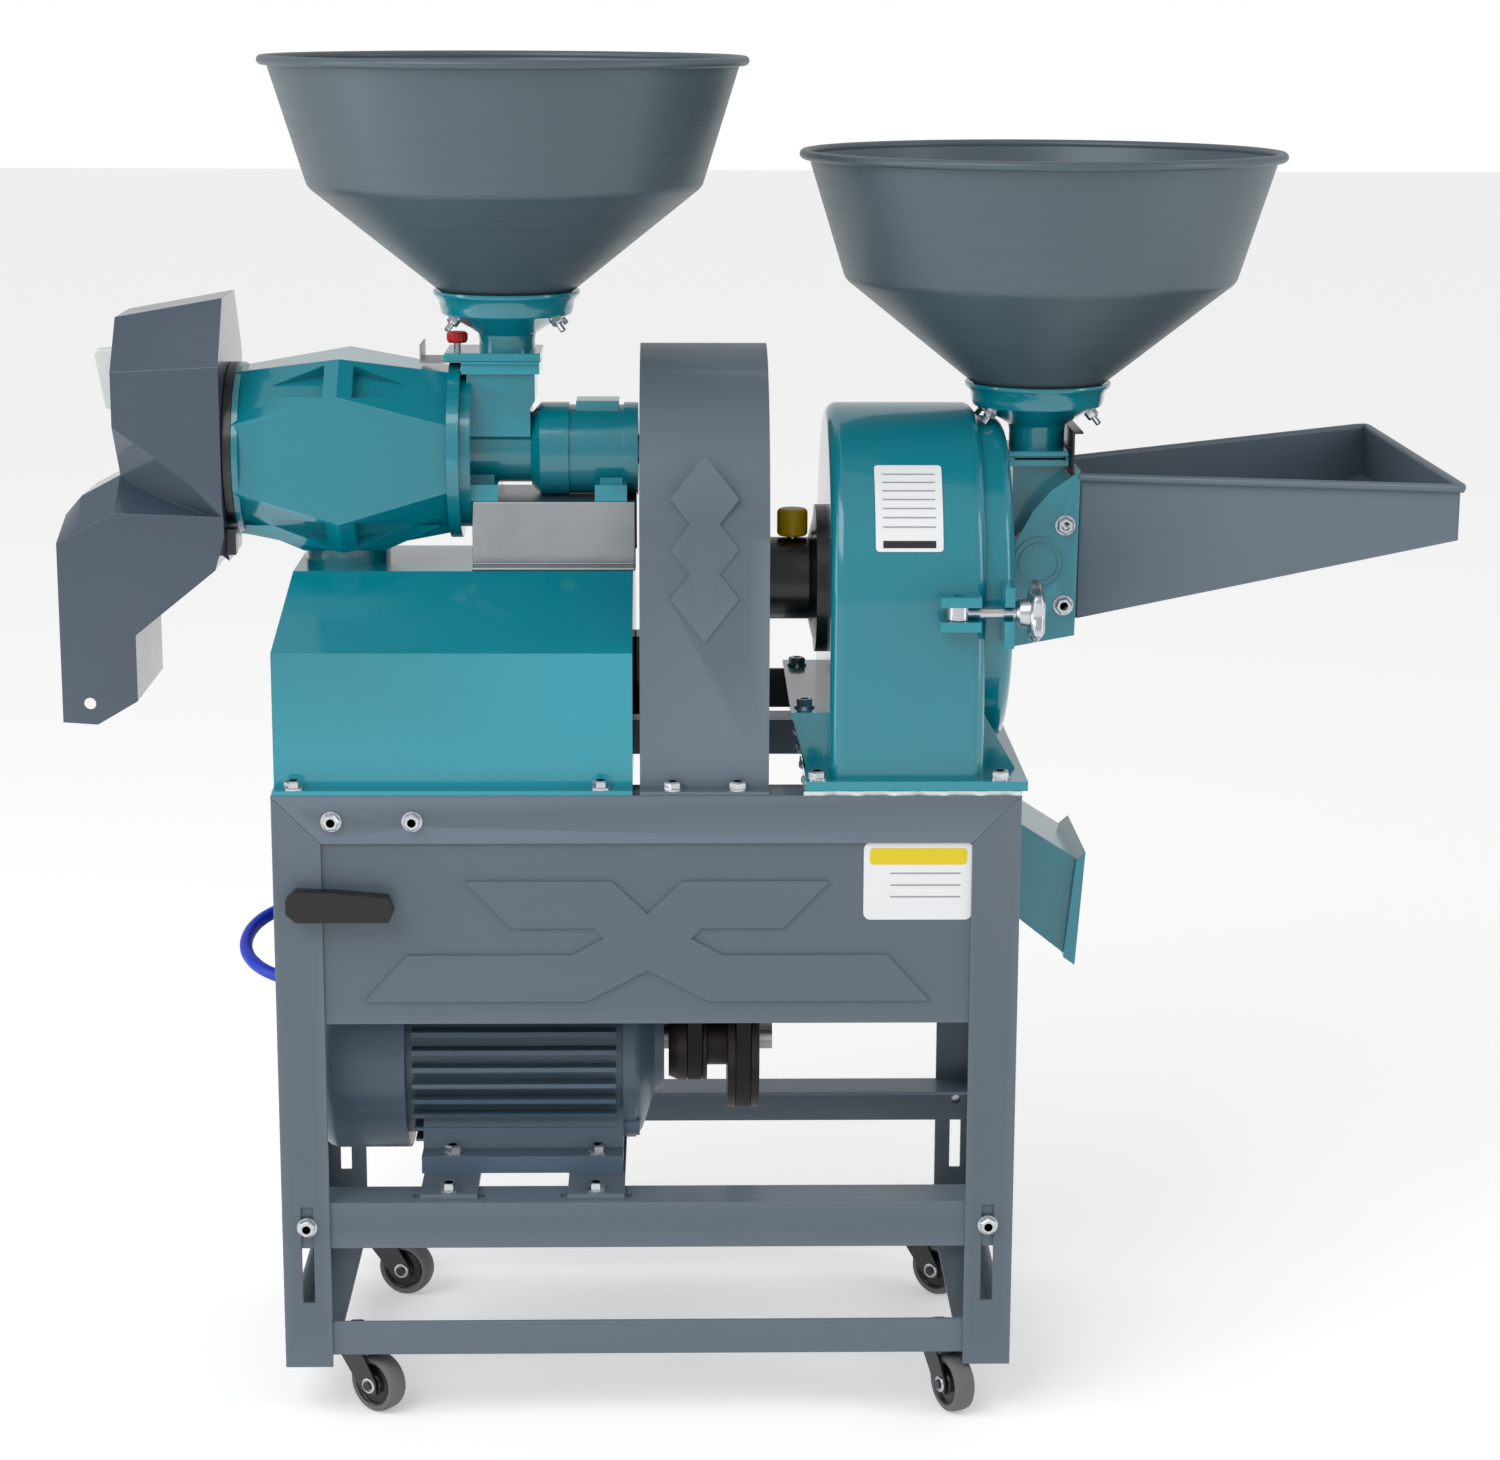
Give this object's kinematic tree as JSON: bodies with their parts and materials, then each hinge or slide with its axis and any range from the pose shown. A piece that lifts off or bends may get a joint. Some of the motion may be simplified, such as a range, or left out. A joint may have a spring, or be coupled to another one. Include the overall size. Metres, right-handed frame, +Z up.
{
  "type": "rice huller",
  "caption": "Motor-driven rice huller and disc mill with two hoppers, a feed tray, a discharge hood and a belt guard on a wheeled angle-iron stand.",
  "frame": {"origin": "on the floor, at the middle of the overall length and of the depth of the stand", "axes": "+X along the shafts from the discharge hood to the feed tray, +Y to the rear, +Z up"},
  "size_m": [1.145, 0.407, 1.135],
  "materials": {
    "slate_enamel": "satin enamel over steel",
    "hammered_slate": "satin enamel with a fine brushed grain",
    "teal_enamel": "gloss enamel",
    "teal_casting": "gloss enamel over cast iron",
    "hood_enamel": "gloss enamel",
    "motor_casting": "satin enamel over cast iron",
    "black_casting": "satin black enamel",
    "bare_iron": "oiled, as cast and turned",
    "bright_steel": "turned steel",
    "stainless_sheet": "brushed stainless sheet",
    "zinc_steel": "zinc plated",
    "black_moulding": "moulded plastic",
    "pale_moulding": "moulded plastic",
    "red_moulding": "moulded plastic",
    "belt_rubber": "moulded rubber with fabric cover",
    "wheel_rubber": "grey tread",
    "white_gasket": "white rubber sheet",
    "blue_sheath": "extruded sheath"
  },
  "bodies": {
    "stand": {"ball_bearings": "bright_steel", "belt_guard": "slate_enamel", "bolts": "zinc_steel", "bottom_rails": "slate_enamel", "caster_plates": "black_casting", "discharge_collar": "black_casting", "discharge_hood": "hood_enamel", "drive_belts": "belt_rubber", "feed_tray": "slate_enamel", "fixed_tooth_disc": "bare_iron", "front_panel": "slate_enamel", "gate_guides": "teal_casting", "guard_stays": "black_casting", "hopper_necks": "teal_casting", "huller_barrel": "teal_casting", "huller_bearing_housing": "teal_casting", "huller_box": "teal_enamel", "huller_bracket": "stainless_sheet", "huller_feed_housing": "teal_casting", "huller_hopper": "hammered_slate", "junction_box": "black_moulding", "legs": "slate_enamel", "mill_bearing_housing": "black_casting", "mill_casing": "teal_enamel", "mill_door": "teal_enamel", "mill_feed_box": "teal_casting", "mill_gasket": "white_gasket", "mill_hopper": "hammered_slate", "mill_outlet_chute": "teal_enamel", "mill_pedestal": "teal_enamel", "motor_fan_cover": "motor_casting", "motor_housing": "motor_casting", "motor_lead": "blue_sheath", "motor_rails": "slate_enamel", "pressure_plate": "bright_steel", "sieves": "bright_steel", "terminal_box": "motor_casting", "top_rails": "slate_enamel"},
    "motor_spin_body": {"motor_rotor": "bright_steel", "motor_pulley": "bare_iron"},
    "huller_spin_body": {"huller_shaft": "bright_steel", "huller_pulley": "bare_iron"},
    "mill_spin_body": {"mill_rotor": "bright_steel", "mill_pulley": "bare_iron"},
    "clamp": {"clamp_bolt": "zinc_steel"},
    "handwheel": {"star_handwheel": "zinc_steel"},
    "huller_slide": {"huller_gate": "stainless_sheet"},
    "slide_knob": {"gate_knob": "red_moulding"},
    "mill_slide": {"mill_gate": "stainless_sheet"},
    "tray_slide": {"tray_gate": "black_casting"},
    "latch": {"latch_handle": "black_moulding"},
    "outlet_knob": {"pressure_knob": "pale_moulding"},
    "fork_front_left": {"caster_fork_front_left": "black_casting"},
    "wheel_front_left": {"caster_wheel_front_left": "wheel_rubber"},
    "fork_front_right": {"caster_fork_front_right": "black_casting"},
    "wheel_front_right": {"caster_wheel_front_right": "wheel_rubber"},
    "fork_rear_left": {"caster_fork_rear_left": "black_casting"},
    "wheel_rear_left": {"caster_wheel_rear_left": "wheel_rubber"},
    "fork_rear_right": {"caster_fork_rear_right": "black_casting"},
    "wheel_rear_right": {"caster_wheel_rear_right": "wheel_rubber"}
  },
  "joints": [
    {"name": "motor_spin", "type": "hinge", "parent": "stand", "child": "motor_spin_body", "pos_m": [-0.0825, 0, 0.288], "axis": [1, 0, 0], "continuous": true},
    {"name": "huller_spin", "type": "hinge", "parent": "stand", "child": "huller_spin_body", "pos_m": [-0.0825, 0, 0.808], "axis": [1, 0, 0], "continuous": true},
    {"name": "mill_spin", "type": "hinge", "parent": "stand", "child": "mill_spin_body", "pos_m": [-0.0825, 0, 0.697], "axis": [1, 0, 0], "continuous": true},
    {"name": "clamp_swing", "type": "hinge", "parent": "stand", "child": "clamp", "pos_m": [0.1695, -0.164, 0.697], "axis": [0, 0, 1], "range_deg": [-100, 0]},
    {"name": "handwheel_turn", "type": "hinge", "parent": "clamp", "child": "handwheel", "pos_m": [0.2175, -0.164, 0.697], "axis": [1, 0, 0], "continuous": true},
    {"name": "huller_gate_slide", "type": "slide", "parent": "stand", "child": "huller_slide", "axis": [-1, 0, 0], "range_m": [-0.018, 0.02]},
    {"name": "gate_knob_turn", "type": "hinge", "parent": "stand", "child": "slide_knob", "pos_m": [-0.2425, 0, 0.89], "axis": [0, 0, 1], "continuous": true},
    {"name": "mill_gate_slide", "type": "slide", "parent": "stand", "child": "mill_slide", "axis": [0, 1, 0], "range_m": [0, 0.045]},
    {"name": "tray_gate_slide", "type": "slide", "parent": "stand", "child": "tray_slide", "axis": [0, 0, 1], "range_m": [-0.028, 0.003]},
    {"name": "latch_turn", "type": "hinge", "parent": "stand", "child": "latch", "pos_m": [-0.3075, -0.165, 0.452], "axis": [0, 1, 0], "range_deg": [-90, 0]},
    {"name": "outlet_knob_turn", "type": "hinge", "parent": "stand", "child": "outlet_knob", "pos_m": [-0.5225, 0, 0.868], "axis": [1, 0, 0], "continuous": true},
    {"name": "swivel_front_left", "type": "hinge", "parent": "stand", "child": "fork_front_left", "pos_m": [-0.3325, -0.128, 0.05], "axis": [0, 0, 1], "continuous": true},
    {"name": "roll_front_left", "type": "hinge", "parent": "fork_front_left", "child": "wheel_front_left", "pos_m": [-0.31359, -0.14278, 0.025], "axis": [0.6157, 0.788, 0], "continuous": true},
    {"name": "swivel_front_right", "type": "hinge", "parent": "stand", "child": "fork_front_right", "pos_m": [0.1675, -0.128, 0.05], "axis": [0, 0, 1], "continuous": true},
    {"name": "roll_front_right", "type": "hinge", "parent": "fork_front_right", "child": "wheel_front_right", "pos_m": [0.17764, -0.14975, 0.025], "axis": [0.9063, 0.4226, 0], "continuous": true},
    {"name": "swivel_rear_left", "type": "hinge", "parent": "stand", "child": "fork_rear_left", "pos_m": [-0.3325, 0.128, 0.05], "axis": [0, 0, 1], "continuous": true},
    {"name": "roll_rear_left", "type": "hinge", "parent": "fork_rear_left", "child": "wheel_rear_left", "pos_m": [-0.30995, 0.11979, 0.025], "axis": [0.342, 0.9397, 0], "continuous": true},
    {"name": "swivel_rear_right", "type": "hinge", "parent": "stand", "child": "fork_rear_right", "pos_m": [0.1675, 0.128, 0.05], "axis": [0, 0, 1], "continuous": true},
    {"name": "roll_rear_right", "type": "hinge", "parent": "fork_rear_right", "child": "wheel_rear_right", "pos_m": [0.18589, 0.11257, 0.025], "axis": [0.6428, 0.766, 0], "continuous": true}
  ],
  "couplings": [
    {"joint": "huller_spin", "follows": "motor_spin", "ratio": 0.5351},
    {"joint": "mill_spin", "follows": "motor_spin", "ratio": 2.2891}
  ]
}
